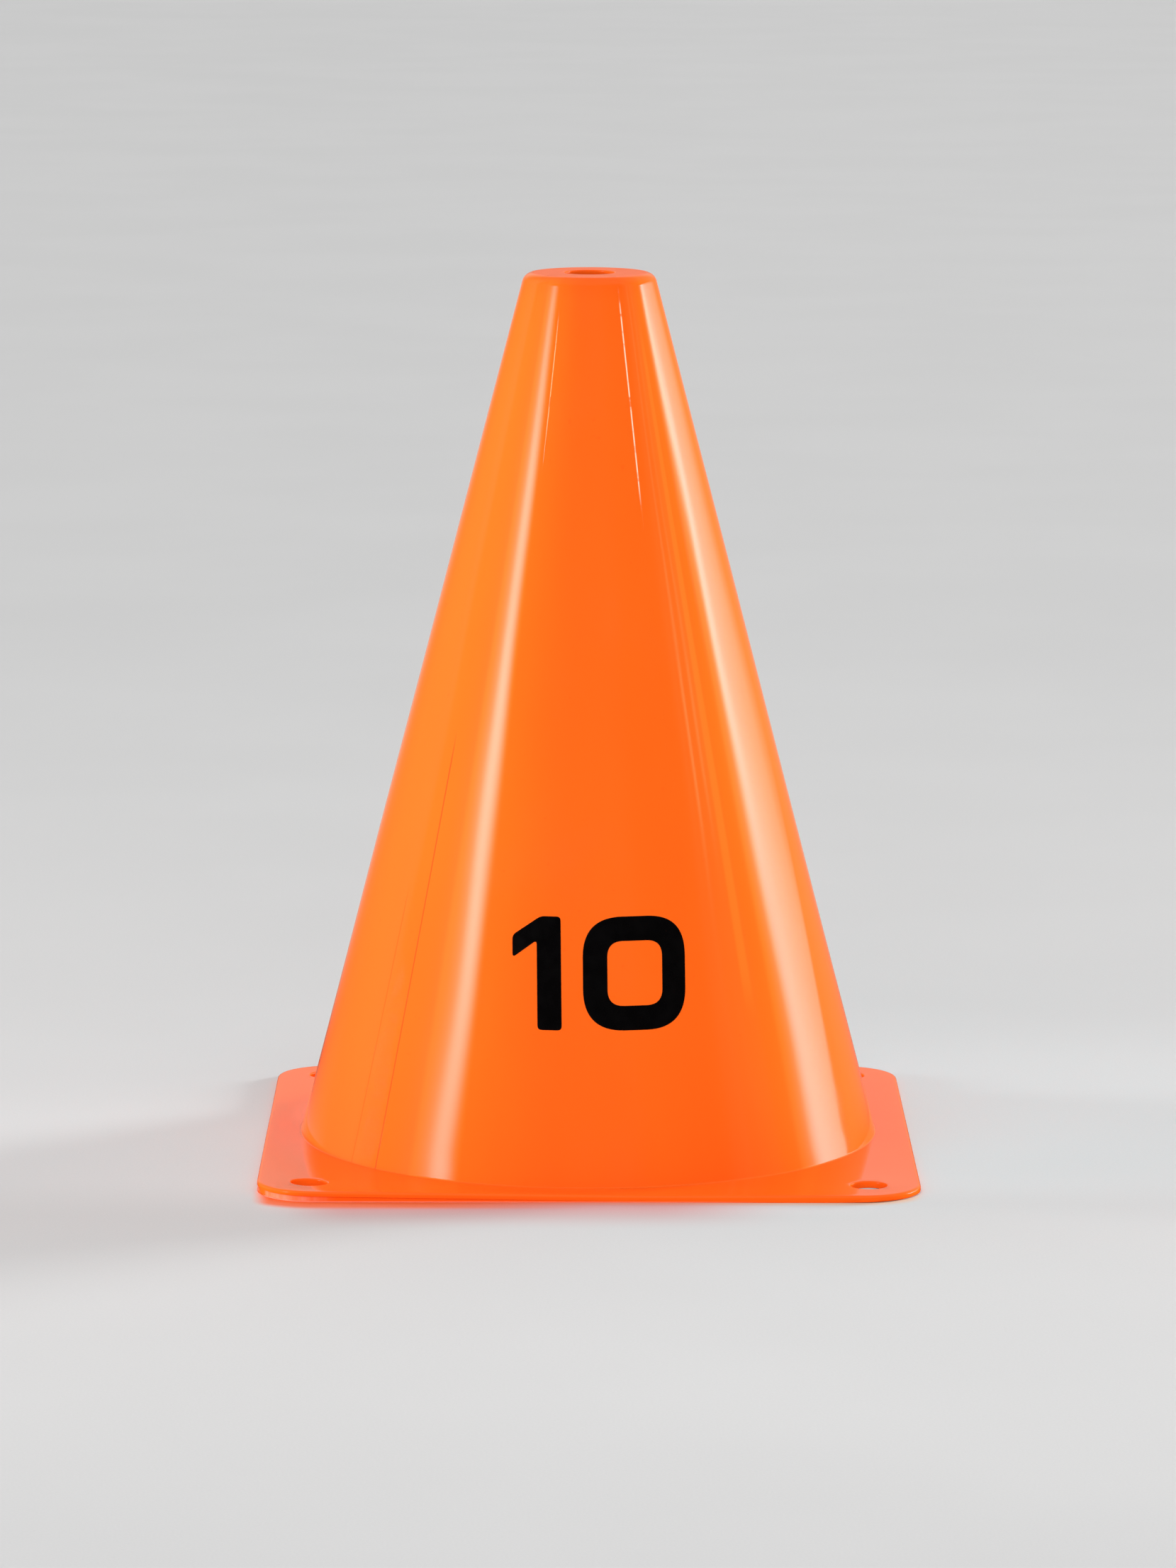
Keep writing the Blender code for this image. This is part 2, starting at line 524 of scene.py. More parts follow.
def outward_at(azimuth, elevation=0.0):
    """Unit vector from the object towards an azimuth and an elevation in degrees."""
    turn = math.radians(azimuth)
    rise = math.radians(elevation)
    return Vector((math.sin(turn) * math.cos(rise), -math.cos(turn) * math.cos(rise), math.sin(rise)))


def place_lamp(name, data, outward, distance, height=0.0):
    """Puts a lamp at a distance in a direction, facing the object."""
    lamp = new_object(name, data)
    lamp.location = outward * distance + Vector((0, 0, height))
    lamp.rotation_mode = "QUATERNION"
    lamp.rotation_quaternion = outward.to_track_quat("Z", "Y")
    lamp.visible_camera = False
    return lamp


def make_sun(name, azimuth, elevation, spread, level):
    """A broad far light that only matt surfaces see; it adds its level to a surface that faces it."""
    data = bpy.data.lights.new(name, "SUN")
    data.angle = math.radians(spread)
    data.energy = level * math.pi
    lamp = place_lamp(name, data, outward_at(azimuth, elevation), lamp_distance)
    lamp.visible_glossy = False


def make_panel(name, span, sides, heights, lean_window, distance=lamp_distance):
    """An upright lamp that only glossy surfaces see, with tones from side to side and bottom to top."""
    low, high = span
    start, end = sides[0][0], sides[-1][0]
    middle = (start + end) / 2
    half = math.tan(math.radians(end - start) / 2)
    width = 2 * distance * half
    brightest = max(level for _, level in sides)
    data = bpy.data.lights.new(name, "AREA")
    data.shape = "RECTANGLE"
    data.size = width
    data.size_y = high - low
    data.energy = brightest * width * (high - low) * panel_power
    lamp = place_lamp(name, data, outward_at(middle), distance, (low + high) / 2)
    lamp.visible_diffuse = False

    data.use_nodes = True
    tree = data.node_tree
    across, up, _ = axes_of(add_node("NewGeometry", {}, "Parametric", tree))
    across = total(across, smooth(up, *lean_window))
    stops = []
    for azimuth, level in sides:
        share = 0.5 + math.tan(math.radians(azimuth - middle)) / (2 * half)
        stops.append((share, grey(level / brightest)))
    upwards = ramp_node(up, [(share, grey(level)) for share, level in heights])
    strength = product(ramp_node(across, stops), upwards)
    set_inputs(tree.nodes["Emission"], {"Strength": strength})


def make_lamps():
    """Soft suns from both sides and the front, and tall panels that shine in the plastic."""
    for sun in suns:
        make_sun(*sun)
    make_panel("strip_left", strip_span, strip_sides, strip_heights, strip_lean)
    make_panel("panel_right", panel_span, panel_sides, panel_heights, panel_lean)
    make_panel("panel_right_upper", panel_span, upper_sides, upper_heights, panel_lean, upper_distance)


# Materials

cone_orange = (1.0, 0.141, 0.0085)
plate_orange = (1.0, 0.124, 0.0080)
ink_black = (0.0012, 0.0009, 0.0010)

# Colours of the marks: darker mould lines, painted glints on two ridges, painted light beside the highlights,
# and a painted highlight on the plate's front edge
deep_line = (1.0, 0.068, 0.0045)
pale_glint = (1.0, 0.72, 0.50)
amber_glint = (1.0, 0.36, 0.12)
painted_band_colour = (1.0, 0.172, 0.0125)
painted_highlight_edge = (1.0, 0.28, 0.175)

# Thin lines in the cone's colour: darker lines along the mould lines, and painted glints on the two ridges
# near the crown. Columns: azimuth, half width, low end, high end, colour, share, broken up or not. They
# fade between two shares of the half width.
parting_turn = -46.5
lines_and_glints = ((parting_turn, 0.00022, -0.010, 0.115, deep_line, 0.95, False),
              (parting_turn + 180, 0.00022, -0.010, 0.115, deep_line, 0.95, False),
              (-54.0, 0.00018, -0.010, 0.075, deep_line, 0.5, False),
              (24.5, 0.00018, 0.170, 0.228, pale_glint, 1.0, True),
              (-24.1, 0.00011, 0.186, 0.222, amber_glint, 0.9, True))
line_soft = (0.3, 1.5)
line_fade = 0.010
dash_scales = (0.0, 0.0, 260.0)
dash_levels = (0.38, 0.50, 0.1, 1.0)

# Upright bands of painted light beside the highlights, in a lighter colour: start and end in degrees, soft
# edge, low end, high end, share
painted_bands = ((-37.5, -26.6, 1.0, -0.020, 0.235, 0.8),
              (38.4, 41.0, 0.5, 0.040, 0.222, 1.0),
              (46.6, 51.9, 0.9, -0.020, 0.235, 0.85))
painted_band_fade = 0.015

# Green and blue of the cone by height, as shares of its colour: deeper at the foot and the crown
height_tints = ((0.0, 0.90), (0.030, 0.93), (0.100, 1.0), (0.150, 0.99), (0.200, 0.96), (0.224, 0.91),
                (0.230, 0.82))

# Painted highlights on the plate's front edge, which shine pale: the low lip up to its right end, and the
# streaked left end, with the places and heights between which they fade
highlight_front = (-0.0785, -0.0765)
highlight_lip_fade = 0.00004
highlight_lip_end = (0.020, 0.050)
highlight_left_end = (-0.074, -0.064)
highlight_left_top = (0.00135, 0.00145)
highlight_streak_scales = (420.0, 0.0, 0.0)
highlight_streak_levels = (0.35, 0.65, 0.35, 0.9)

# Clouds, flow marks and specks in the plastic's colour. A tint has factors of green and blue.
cloud_scale = 11.0
cloud_share = 0.6
flow_scales = (70.0, 70.0, 3.0)
mottle_levels = (0.3, 0.7)
deep_tint = (0.955, 0.93)
light_tint = (1.045, 1.07)
speck_scale = 520.0
speck_levels = (0.70, 0.78, 0.0, 0.35)
speck_tint = (0.80, 0.8)

# Smudges, hair scratches, low relief, and fine grain on the crown. A noise has scale, detail, roughness
# and distortion, and a seed moves it by these shares along the axes.
seed_shares = (1.0, 0.7, 1.3)
smudge_noise = (24.0, 4.0, 0.6)
smudge_levels = (0.5, 0.8, 0.0)
smudge_roughness = 0.04
hair_scales = (90.0, 90.0, 900.0)
hair_noise = (1.0, 2.0, 0.7, 0.4)
hair_levels = (0.68, 0.74, 0.0)
hair_roughness = 0.05
relief_scale = 160.0
relief_strength = 0.20
relief_height = 0.00001
grain_scale = 1500.0
grain_share = 1.2
grain_roughness = 0.27
grain_fade = 0.00005
grain_start = cone_height - 0.00007

# Mottle and pinholes of the ink
ink_noise = (260.0, 3.0)
ink_light_share = 1.7
ink_roughness = (0.22, 0.34)
ink_specular = 0.12
ink_strength = 0.3
pinhole_noise = (2600.0, 1.0)
pinhole_levels = (0.78, 0.84, 0.0, 0.12)
pinhole_share = 0.25


def tinted(colour, green, blue):
    """A colour with its green and blue changed by factors."""
    return (colour[0], colour[1] * green, colour[2] * blue)


def scaled(parts, factor):
    """A colour or vector times a factor."""
    return tuple(factor * part for part in parts)


def line_node(place, azimuth, half_width, low, high, broken):
    """1 on a thin upright line on the cone at an azimuth, between two heights, and 0 beside it."""
    across, deep, height = axes_of(place)
    turned = math_node("SUBTRACT", turn_node(place), turn_share(azimuth))
    aside = math_node("ABSOLUTE", product(turned, flat_length(across, deep)))
    aside = product(aside, 2 * math.pi)
    line = product(falling(aside, *scaled(line_soft, half_width)),
                   *end_fades(height, low, high, line_fade))
    if broken:
        dashes = noise_node(stretched(place, dash_scales), 1.0, 3.0)
        line = product(line, smooth(dashes, *dash_levels))
    return line


def painted_band_node(place, start, end, soft, low, high):
    """1 on an upright band of painted light on the cone between two azimuths and two heights, and 0 beside
    it.
    """
    turn = turn_node(place)
    return product(smooth(turn, turn_share(start - soft), turn_share(start + soft)),
                   falling(turn, turn_share(end - soft), turn_share(end + soft)),
                   *end_fades(axes_of(place)[2], low, high, painted_band_fade))


def cone_marks(place, tone):
    """The cone's colour with bands of painted light, its change with height, darker mould lines and painted
    glints.
    """
    for *band, share in painted_bands:
        tone = mixed(product(painted_band_node(place, *band), share), tone, painted_band_colour)
    level = product(axes_of(place)[2], 1 / cone_height)
    stops = [(height / cone_height, (1.0, share, share)) for height, share in height_tints]
    tone = multiplied(tone, ramp_node(level, stops))
    for azimuth, half_width, low, high, colour, share, broken in lines_and_glints:
        mark = line_node(place, azimuth, half_width, low, high, broken)
        tone = mixed(product(mark, share), tone, colour)
    return tone


def plate_marks(place, tone):
    """The plate's colour with painted highlights on the low lip and the streaked left end of its front edge.
    """
    across, deep, height = axes_of(place)
    lip = product(falling(height, low_lip, low_lip + highlight_lip_fade), falling(across, *highlight_lip_end))
    streak = noise_node(stretched(place, highlight_streak_scales), 1.0)
    left = product(falling(across, *highlight_left_end), falling(height, *highlight_left_top),
                   smooth(streak, *highlight_streak_levels))
    pale = product(math_node("MAXIMUM", lip, left), falling(deep, *highlight_front))
    return mixed(pale, tone, painted_highlight_edge)


def set_relief(shader, height, strength):
    """Gives a shader a very low relief."""
    values = {"Strength": strength, "Distance": relief_height, "Height": height}
    set_inputs(shader, {"Normal": add_node("Bump", values)})


def plastic_tone(spot, colour):
    """The colour of the plastic with its clouds, flow marks and specks."""
    flow = noise_node(stretched(spot, flow_scales), 1.0)
    both = total(product(noise_node(spot, cloud_scale), cloud_share), product(flow, 1 - cloud_share))
    tints = (tinted(colour, *deep_tint), tinted(colour, *light_tint))
    tone = ramp_node(both, tuple(zip(mottle_levels, tints)))
    speck = smooth(noise_node(spot, speck_scale), *speck_levels)
    return mixed(speck, tone, tinted(colour, *speck_tint))


def orange_plastic(name, colour, marks, sheen, seed, wear=1.0, grain_from=None):
    """Glossy orange plastic with faint clouds, flow marks, smudges and fine scratches.

    The function marks adds a piece's own marks to the colour, sheen is the least roughness, wear scales
    smudges, scratches and relief, and the surface is fine grained above the height grain_from.
    """
    material, shader, place = new_material(name)
    spot = add_node("Mapping", {"Vector": place, "Location": scaled(seed_shares, seed)})
    smudge = noise_node(spot, *smudge_noise)
    scratch = noise_node(stretched(spot, hair_scales), *hair_noise)
    rough = total(smooth(smudge, *smudge_levels, smudge_roughness * wear),
                  smooth(scratch, *hair_levels, hair_roughness * wear), sheen)
    height = noise_node(spot, relief_scale)
    if grain_from:
        top = smooth(axes_of(place)[2], grain_from, grain_from + grain_fade)
        rough = total(rough, product(top, grain_roughness))
        grain = product(noise_node(spot, grain_scale), top)
        height = total(height, product(grain, grain_share))
    tone = marks(place, plastic_tone(spot, colour))
    set_inputs(shader, {"Base Color": tone, "Roughness": rough, "IOR": 1.5})
    set_relief(shader, height, relief_strength * wear)
    return material


def printed_ink(name):
    """Thin black ink with a low sheen, a faint mottle and tiny pinholes."""
    material, shader, place = new_material(name)
    mottle = noise_node(place, *ink_noise)
    inks = (ink_black, scaled(ink_black, ink_light_share))
    tone = ramp_node(mottle, tuple(zip(mottle_levels, inks)))
    pinhole = smooth(noise_node(place, *pinhole_noise), *pinhole_levels)
    set_inputs(shader, {"Base Color": mixed(pinhole, tone, scaled(cone_orange, pinhole_share)),
                        "Roughness": smooth(mottle, *mottle_levels, *ink_roughness),
                        "Specular IOR Level": ink_specular})
    set_relief(shader, mottle, ink_strength)
    return material


# Cone

cone_sheen = 0.06

# Hairlines that run up the outside at one azimuth, between two heights. A groove has a depth above
# zero and a ridge below zero. The reach is where it has faded to about a third.
MouldLine = namedtuple("MouldLine", "azimuth depth reach low high")
mould_lines = (
    MouldLine(parting_turn, 0.00003, 0.00018, 0.0, 0.115),
    MouldLine(parting_turn + 180, 0.00003, 0.00018, 0.0, 0.115),
    MouldLine(-54.0, 0.00002, 0.00015, 0.0, 0.075),
    MouldLine(-24.1, -0.00002, 0.00012, 0.184, 0.222),
    MouldLine(24.5, -0.00005, 0.00016, 0.168, 0.226),
)
line_end_out = 0.004
line_end_in = 0.001
ripple_share = 0.22
ripple_rises = (2100, 790)

# Slow waves in the wall: turns round the cone, turns up it, start, steepness in radians
waves = (
    (5, 1.3, 0.4, 0.0040),
    (9, -2.1, 1.9, 0.0040),
    (14, 3.2, 3.3, 0.0034),
    (23, 1.7, 5.1, 0.0022),
    (37, 0.8, 0.9, 0.0012),
)
flute_middle = 39.0
flute_spread = 9.0
flute_turns = 97
flute_sway = 0.9
flute_steepness = 0.006

# The waves end towards the foot over a height, and towards the crown between two depths under it
calm_foot = 0.006
calm_crown = (0.002, 0.012)

# Columns of points at each mould line, in shares of its reach, and the degrees that others keep clear
# of it. An extra row lies by the rounds of foot and crown, at a share of a row's height.
line_offset_shares = (-3.0, -2.2, -1.6, -1.1, -0.7, -0.35, 0.0, 0.35, 0.7, 1.1, 1.6, 2.2, 3.0)
line_clear = 1.0
row_share = 0.04

# Steps along the outline
hem_steps = 10
side_steps = 120
crown_steps = 14
crown_ring_steps = 4
lip_steps = 5
under_ring_steps = 3
inner_round_steps = 8
inner_side_steps = 40

sharp_from = math.radians(40)


def side_radius(height):
    """Radius of the cone's straight outer side at a height above the floor."""
    return foot_radius - taper * (height - plate_top)


def smooth_step(low, high, value):
    """0 at low, 1 at high, and smooth between them; low may be the greater one."""
    share = np.clip((value - low) / (high - low), 0.0, 1.0)
    return share * share * (3 - 2 * share)


def apart(azimuth, other):
    """Signed difference of two azimuths in degrees, from -180 to 180."""
    return (azimuth - other + 180.0) % 360.0 - 180.0


def relief(azimuth, height):
    """How far the outside stands proud of a true cone, from waves, flutes and mould lines."""
    radius = side_radius(height)
    angle = np.radians(azimuth)
    up = height / cone_height * 2 * math.pi
    slope = np.zeros_like(azimuth + height)
    for turns, rises, start, steepness in waves:
        slope = slope + steepness * np.sin(turns * angle + rises * up + start) / turns
    flute = np.exp(-((azimuth - flute_middle) / flute_spread) ** 2) * flute_steepness
    slope = slope + flute * np.sin(flute_turns * angle + flute_sway * np.sin(up)) / flute_turns
    high, low = (cone_height - drop for drop in calm_crown)
    calm = smooth_step(plate_top, plate_top + calm_foot, height) * smooth_step(high, low, height)
    proud = radius * slope * calm
    for line in mould_lines:
        offset = np.radians(apart(azimuth, line.azimuth)) * radius
        run = smooth_step(line.low - line_end_out, line.low + line_end_in, height)
        run = run * smooth_step(line.high + line_end_in, line.high - line_end_out, height)
        ripple = ripple_share * np.sin(height * ripple_rises[0] + line.azimuth)
        ripple = 1 + ripple * np.sin(height * ripple_rises[1])
        proud = proud - line.depth * run * ripple * np.exp(-(offset / line.reach) ** 2)
    return proud


def arc(centre, radius, start, end, steps):
    """Points on an arc about a centre, with both of its ends."""
    points = []
    for step in range(steps + 1):
        angle = start + (end - start) * step / steps
        points.append((centre[0] + radius * math.cos(angle), centre[1] + radius * math.sin(angle)))
    return points


def between(start, end, share):
    """The point at a share of the way from start to end."""
    return (start[0] + (end[0] - start[0]) * share, start[1] + (end[1] - start[1]) * share)


def run_of(start, end, steps):
    """Points evenly spaced from start to end, without both ends."""
    return [between(start, end, step / steps) for step in range(1, steps)]


def cone_outline():
    """Closed outline (radius, height) of the shell, and how many of its first points are outside."""
    hem = arc((hem_radius, plate_top + hem_round), hem_round, 1.5 * math.pi, math.pi + lean, hem_steps)
    crown_reach = crown_round * math.tan(corner_turn / 2)
    crown_centre = (crown_radius - crown_reach, cone_height - crown_round)
    crown = arc(crown_centre, crown_round, lean, math.pi / 2, crown_steps)
    side = run_of(hem[-1], crown[0], side_steps)
    side = [between(hem[-1], side[0], row_share)] + side + [between(crown[0], side[-1], row_share)]
    outside = hem + side + crown

    disc_underside = cone_height - wall
    lip_radius = crown_hole_radius + lip_round
    lip = arc((lip_radius, cone_height - lip_round), lip_round, math.pi / 2, math.pi, lip_steps)
    lower_lip = arc((lip_radius, disc_underside + lip_round), lip_round, math.pi, 1.5 * math.pi, lip_steps)
    inner_round = crown_round - wall
    inner_reach = inner_round * math.tan(corner_turn / 2)
    inner_corner = side_radius(disc_underside) - wall_across
    inner_centre = (inner_corner - inner_reach, disc_underside - inner_round)
    inner = arc(inner_centre, inner_round, math.pi / 2, lean, inner_round_steps)
    foot_underside = seat_floor + seat_gap
    foot = (side_radius(foot_underside) - wall_across, foot_underside)
    rim = (hem_radius, foot_underside)

    points = outside + run_of(crown[-1], lip[0], crown_ring_steps) + lip + lower_lip
    points += run_of(lower_lip[-1], inner[0], under_ring_steps) + inner
    points += run_of(inner[-1], foot, inner_side_steps) + [foot]
    return points + run_of(foot, rim, under_ring_steps) + [rim], len(outside)


def column_azimuths():
    """(azimuth, offset along the surface) of each column: one a degree, and more at each line."""
    columns = []
    for degree in range(360):
        if all(abs(apart(degree, line.azimuth)) > line_clear for line in mould_lines):
            columns.append((float(degree), 0.0))
    for line in mould_lines:
        columns += [(line.azimuth % 360.0, share * line.reach) for share in line_offset_shares]
    return sorted(columns)


def ring_faces(rings, across, bands):
    """Quads from each ring of points to the next one, and from the last ring to the first."""
    faces = []
    for ring in range(bands):
        above = (ring + 1) % rings
        for step in range(across):
            beside = (step + 1) % across
            faces.append((ring * across + step, ring * across + beside,
                          above * across + beside, above * across + step))
    return faces


def mesh_object(name, points, faces, body="root"):
    """An object of points and faces that rides on a body, shaded smooth between sharp edges."""
    mesh = bpy.data.meshes.new(name)
    mesh.from_pydata(points, [], faces)
    mesh.update()
    bm = bmesh.new()
    bm.from_mesh(mesh)
    bmesh.ops.recalc_face_normals(bm, faces=bm.faces)
    bm.to_mesh(mesh)
    bm.free()
    mesh.shade_smooth()
    mesh.set_sharp_from_angle(angle=sharp_from)
    thing = new_object(name, mesh)
    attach(thing, body)
    return thing


def turned_point(reach, angle, height):
    """The point at a reach from the cone's axis, an angle from the front in radians, and a height."""
    return (reach * math.sin(angle), -reach * math.cos(angle), height)


def make_cone():
    """The cone's thin shell, rounded at crown, lips and foot, with waves and mould lines."""
    outline, outside_count = cone_outline()
    columns = column_azimuths()
    points = []
    for place, (radius, height) in enumerate(outline):
        reach = max(radius, crown_radius)
        azimuths = np.array([azimuth + math.degrees(offset / reach) for azimuth, offset in columns])
        radii = np.full(len(columns), radius)
        if place < outside_count:
            radii = radii + relief(azimuths, height) * math.cos(lean)
        points += [turned_point(far, angle, height) for far, angle in zip(radii, np.radians(azimuths))]
    faces = ring_faces(len(outline), len(columns), len(outline))
    cone = mesh_object("cone_shell", points, faces)
    plastic = orange_plastic("cone_plastic", cone_orange, cone_marks, cone_sheen, 0.0, grain_from=grain_start)
    cone.data.materials.append(plastic)
    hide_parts("cone_body")


# Base plate

plate_sheen = 0.008
plate_seed = 3.7
plate_wear = 0.35

# The front border is raised at its foot and its upper face, from nothing at lift_end to all of it at
# lift_start and a little more beyond, and fades over azimuths on the left and the right. The right
# front corner is raised a little, over places across and deep.
lift_under = 0.0013
lift_over = 0.0010
lift_start = -0.072
lift_end = 0.015
most_lift = 1.05
lift_left = (-150.0, -62.0)
lift_right = (120.0, 60.0)
corner_lift = 0.0002
corner_across = (0.060, 0.078)
corner_deep = (-0.055, -0.075)

# Below its raised band the rim is set back, fully where the lift is recess_full or more. Heights above
# the low lip: of rings of points, from which points rise, up to which they are set back, and of the lift.
edge_recess = 0.0004
recess_full = 0.0006
step_rings = (-0.00002, 0.00001, 0.00005, 0.00009)
rise_from = 0.00003
recess_to = 0.00008
recess_probe = 0.0001

dimple_depth = 0.00005
dimple_reach = 0.0080
wave_depth = 0.000012
wave_rises = (75, 58)
wave_starts = (1.0, 0.4)
slant_wave_share = 0.6
slant_wave_rises = (31, -44)

plate_cell = 0.0025
same_place = 0.000001
cut_overrun = 0.001
plate_corner_steps = 16
underside_steps = 3
rim_steps = 10
hole_lip_steps = 4
opening_steps = 240
peg_hole_steps = 48


def plate_ring(inset, height):
    """Points of the plate's outline, drawn in by inset, at a height."""
    points = []
    for quarter, (side_x, side_y) in enumerate(((1, 1), (-1, 1), (-1, -1), (1, -1))):
        start = quarter * math.pi / 2
        centre = (side_x * corner_centre, side_y * corner_centre)
        points += arc(centre, plate_corner_radius - inset, start, start + math.pi / 2, plate_corner_steps)
    return [(x, y, height) for x, y in points]


def plate_lift(x, y, z):
    """How far a point of the plate is raised: most at the left front corner, nothing at the cone.

    The rim's band rises more at its foot than at the upper face. The underside and the low lip stay on
    the floor, apart from a little at the right front corner.
    """
    radius = math.hypot(x, y)
    edge = plate_half_width * radius / max(abs(x), abs(y))
    outward = smooth_step(0.0, 1.0, (radius - seat_edge) / (edge - seat_edge))
    azimuth = math.degrees(math.atan2(x, -y))
    front = smooth_step(*lift_left, azimuth) * smooth_step(*lift_right, azimuth)
    low = 1.0 - min(z / plate_top, 1.0)
    side = min(max((lift_end - x) / (lift_end - lift_start), 0.0), most_lift)
    rise = (lift_over + (lift_under - lift_over) * low) * side
    right = corner_lift * low * smooth_step(*corner_across, x) * smooth_step(*corner_deep, y)
    if z < low_lip + rise_from:
        rise = 0.0
    return float(outward * (rise * front + right))


def recess(x, y, z, lift):
    """How far a point moves in, along X and Y, between the low lip and the rim's raised band."""
    if not low_lip < z < low_lip + recess_to:
        return 0.0, 0.0
    outward = Vector([place - min(max(place, -corner_centre), corner_centre) for place in (x, y)])
    return -edge_recess * min(lift / recess_full, 1.0) * outward.normalized()


def peg_hole_places():
    """The middles (x, y) of the four peg holes."""
    return [(side_x * peg_hole_reach, side_y * peg_hole_reach) for side_x in (-1, 1) for side_y in (-1, 1)]


def plate_sink(x, y):
    """Slow dents in the plate's upper face: a dimple at each peg hole and faint waves."""
    sink = 0.0
    for hole_x, hole_y in peg_hole_places():
        away = math.hypot(x - hole_x, y - hole_y)
        sink += dimple_depth * math.exp(-(away / dimple_reach) ** 2)
    wave = math.sin(x * wave_rises[0] + wave_starts[0]) * math.sin(y * wave_rises[1] + wave_starts[1])
    wave += slant_wave_share * math.sin(x * slant_wave_rises[0] + y * slant_wave_rises[1])
    return sink + wave_depth * wave


def stack_object(name, rings):
    """An object through rings of points, from the lowest ring to the highest, closed at both ends."""
    count = len(rings[0])
    points = [point for ring in rings for point in ring]
    faces = [tuple(reversed(range(count)))] + ring_faces(len(rings), count, len(rings) - 1)
    faces.append(tuple(range(len(points) - count, len(points))))
    mesh = bpy.data.meshes.new(name)
    mesh.from_pydata(points, [], faces)
    return new_object(name, mesh)


def turned_cutter(name, outline, place, steps):
    """A closed body turned about an upright axis, from an outline (radius, height) that runs up."""
    angles = [2 * math.pi * step / steps for step in range(steps)]
    rings = []
    for radius, height in outline:
        rings.append([(place[0] + radius * math.cos(angle), place[1] + radius * math.sin(angle), height)
                      for angle in angles])
    return stack_object(name, rings)


def plate_blank():
    """The plate without its holes: a flat underside, a thin lip and a large round above it."""
    foot_centre = (underside_round, underside_round)
    profile = arc(foot_centre, underside_round, 1.5 * math.pi, math.pi, underside_steps)
    profile += [(0.0, low_lip + above) for above in step_rings]
    profile += arc((rim_round, plate_top - rim_round), rim_round, math.pi, math.pi / 2, rim_steps)
    return stack_object("plate_blank", [plate_ring(inset, height) for inset, height in profile])


def plate_cutters():
    """The cutters of the plate's stepped round opening and of its peg holes, rounded at the top."""
    top = plate_top + cut_overrun
    seat = [(opening_radius, -cut_overrun), (opening_radius, seat_floor), (seat_edge, seat_floor),
            (seat_edge, top)]
    cutters = [turned_cutter("opening_cutter", seat, (0, 0), opening_steps)]
    flared = peg_hole_radius + lip_round
    lip = arc((flared, plate_top - lip_round), lip_round, math.pi, math.pi / 2, hole_lip_steps)
    hole = [(peg_hole_radius, -cut_overrun)] + lip + [(flared, top)]
    for place in peg_hole_places():
        cutters.append(turned_cutter("peg_cutter", hole, place, peg_hole_steps))
    return cutters


def cut_by(thing, cutters):
    """A bmesh of an object with its cutters taken away; the objects are removed."""
    for cutter in cutters:
        cut = thing.modifiers.new(cutter.name, "BOOLEAN")
        cut.operation = "DIFFERENCE"
        cut.solver = "EXACT"
        cut.object = cutter
    bpy.context.view_layer.update()
    seen = thing.evaluated_get(bpy.context.evaluated_depsgraph_get())
    bm = bmesh.new()
    bm.from_mesh(bpy.data.meshes.new_from_object(seen))
    for used in [thing] + cutters:
        bpy.data.objects.remove(used, do_unlink=True)
    return bm


def slice_cells(bm, reach, cell, axes):
    """Cuts every face along planes a cell apart."""
    cuts = int(reach / cell)
    for axis in axes:
        for place in range(-cuts, cuts + 1):
            bmesh.ops.bisect_plane(bm, geom=bm.verts[:] + bm.edges[:] + bm.faces[:], dist=same_place,
                                   plane_co=axis * place * cell, plane_no=axis)


def points_and_faces(bm):
    """The points and faces of a bmesh, which is freed."""
    points = [tuple(vert.co) for vert in bm.verts]
    bm.verts.index_update()
    faces = [tuple(vert.index for vert in face.verts) for face in bm.faces]
    bm.free()
    return points, faces


def make_plate():
    """The square plate with its rounded rim, opening, peg holes, dents and raised border."""
    bm = cut_by(plate_blank(), plate_cutters())
    slice_cells(bm, plate_half_width, plate_cell, (Vector((1, 0, 0)), Vector((0, 1, 0))))
    for vert in bm.verts:
        x, y, z = vert.co
        upper = float(smooth_step(plate_top - rim_round, plate_top, z))
        inward_x, inward_y = recess(x, y, z, plate_lift(x, y, low_lip + recess_probe))
        vert.co = (x + inward_x, y + inward_y, z + plate_lift(x, y, z) - upper * plate_sink(x, y))
    plate = mesh_object("plate", *points_and_faces(bm))
    plastic = orange_plastic("plate_plastic", plate_orange, plate_marks, plate_sheen, plate_seed, plate_wear)
    plate.data.materials.append(plastic)
    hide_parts("base_plate")


# Number on the front

number_middle = 0.0551
number_azimuth = 2.45
number_height = 0.0293
number_stroke = 0.0063
number_film = 0.00005
number_sunk = 0.00001
one_width = 0.0128
one_flag_drop = 0.0052
one_flag_thick = 0.0058
zero_width = 0.0270
zero_round = 0.0105
digit_gap = 0.0056
stroke_round = 0.0011
number_cell = 0.001
one_corner_steps = 4
zero_corner_steps = 16

# Half the depth of the flat figures, before they become a film on the cone
flat_depth = 1.0


def rounded_outline(corners, radius, steps):
    """A closed outline through corners (across, up), each rounded off within a radius."""
    points = []
    for place, corner in enumerate(corners):
        middle = Vector(corner)
        before = Vector(corners[place - 1]) - middle
        after = Vector(corners[(place + 1) % len(corners)]) - middle
        start = middle + before.normalized() * radius
        end = middle + after.normalized() * radius
        for step in range(steps + 1):
            share = step / steps
            points.append(start * (1 - share) ** 2 + middle * 2 * share * (1 - share) + end * share ** 2)
    return points


def flat_points(bm, outline):
    """Points of a flat figure's front for an outline (across, up)."""
    return [bm.verts.new((across, -flat_depth, up)) for across, up in outline]


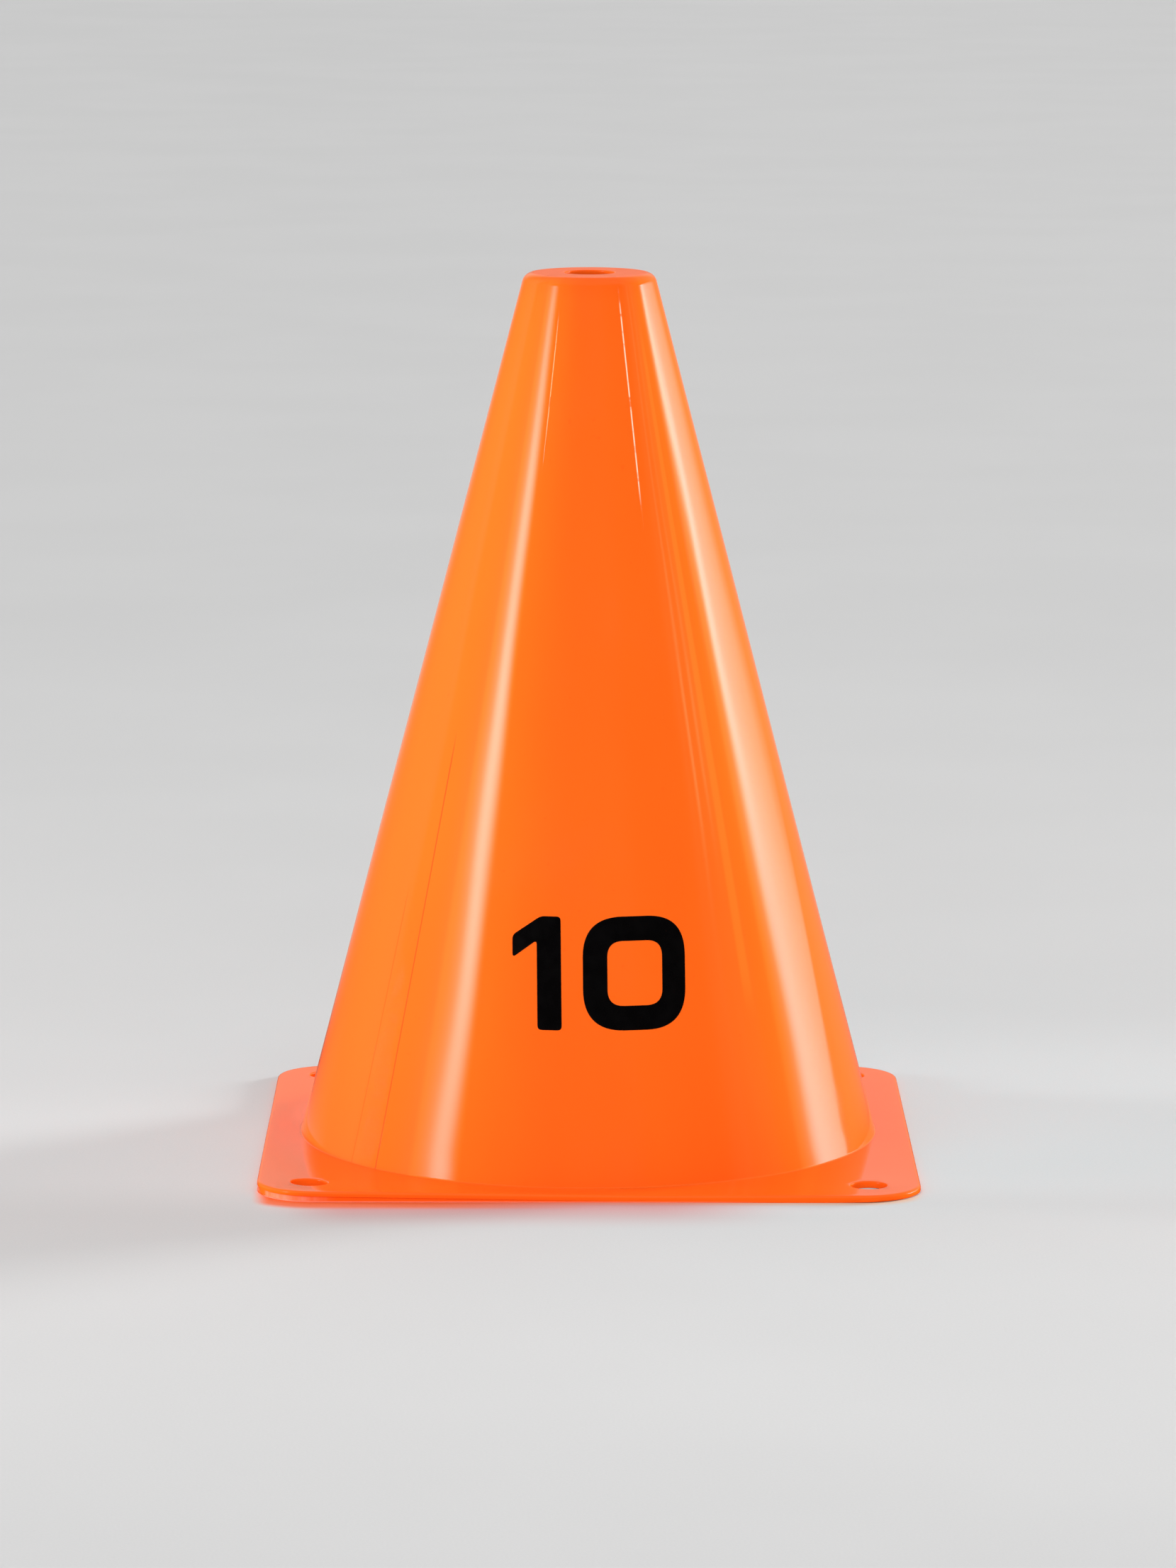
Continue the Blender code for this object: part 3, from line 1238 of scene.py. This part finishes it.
def add_one(bm, left):
    """A flat figure one that starts at a place across."""
    low, high = -number_height / 2, number_height / 2
    right = left + one_width
    bar = right - number_stroke
    corners = [(bar, low), (right, low), (right, high), (bar + stroke_round, high),
               (left, high - one_flag_drop), (left, high - one_flag_drop - one_flag_thick),
               (bar, high - one_flag_thick - one_flag_drop / one_width * stroke_round)]
    bm.faces.new(flat_points(bm, rounded_outline(corners, stroke_round, one_corner_steps)))


def add_zero(bm, left):
    """A flat figure nought that starts at a place across."""
    loops = []
    for inset in (0.0, number_stroke):
        near, far = left + inset, left + zero_width - inset
        low, high = inset - number_height / 2, number_height / 2 - inset
        corners = [(near, low), (far, low), (far, high), (near, high)]
        loops.append(flat_points(bm, rounded_outline(corners, zero_round - inset, zero_corner_steps)))
    outside, inside = loops
    for place in range(len(outside)):
        bm.faces.new((outside[place - 1], outside[place], inside[place], inside[place - 1]))


def make_number():
    """A plain black number ten printed on the front of the cone, as a thin film."""
    bm = bmesh.new()
    left = -(one_width + digit_gap + zero_width) / 2
    add_one(bm, left)
    add_zero(bm, left + one_width + digit_gap)
    bm.normal_update()
    bmesh.ops.triangulate(bm, faces=bm.faces)
    grown = bmesh.ops.extrude_face_region(bm, geom=bm.faces[:], use_keep_orig=True)["geom"]
    behind = [item for item in grown if isinstance(item, bmesh.types.BMVert)]
    bmesh.ops.translate(bm, verts=behind, vec=(0, 2 * flat_depth, 0))
    slice_cells(bm, zero_width + one_width, number_cell, (Vector((1, 0, 0)), Vector((0, 0, 1))))
    for vert in bm.verts:
        height = number_middle + vert.co.z * math.cos(lean)
        radius = side_radius(height)
        azimuth = number_azimuth + math.degrees(vert.co.x / radius)
        reach = radius + float(relief(np.array([azimuth]), height)[0]) * math.cos(lean)
        reach += number_film if vert.co.y < 0 else -number_sunk
        vert.co = turned_point(reach, math.radians(azimuth), height)
    number = mesh_object("front_number", *points_and_faces(bm))
    number.data.materials.append(printed_ink("printed_ink"))


make_camera()
make_floor()
make_world()
make_lamps()
make_cone()
make_plate()
make_number()

bpy.context.scene.view_settings.view_transform = "Standard"
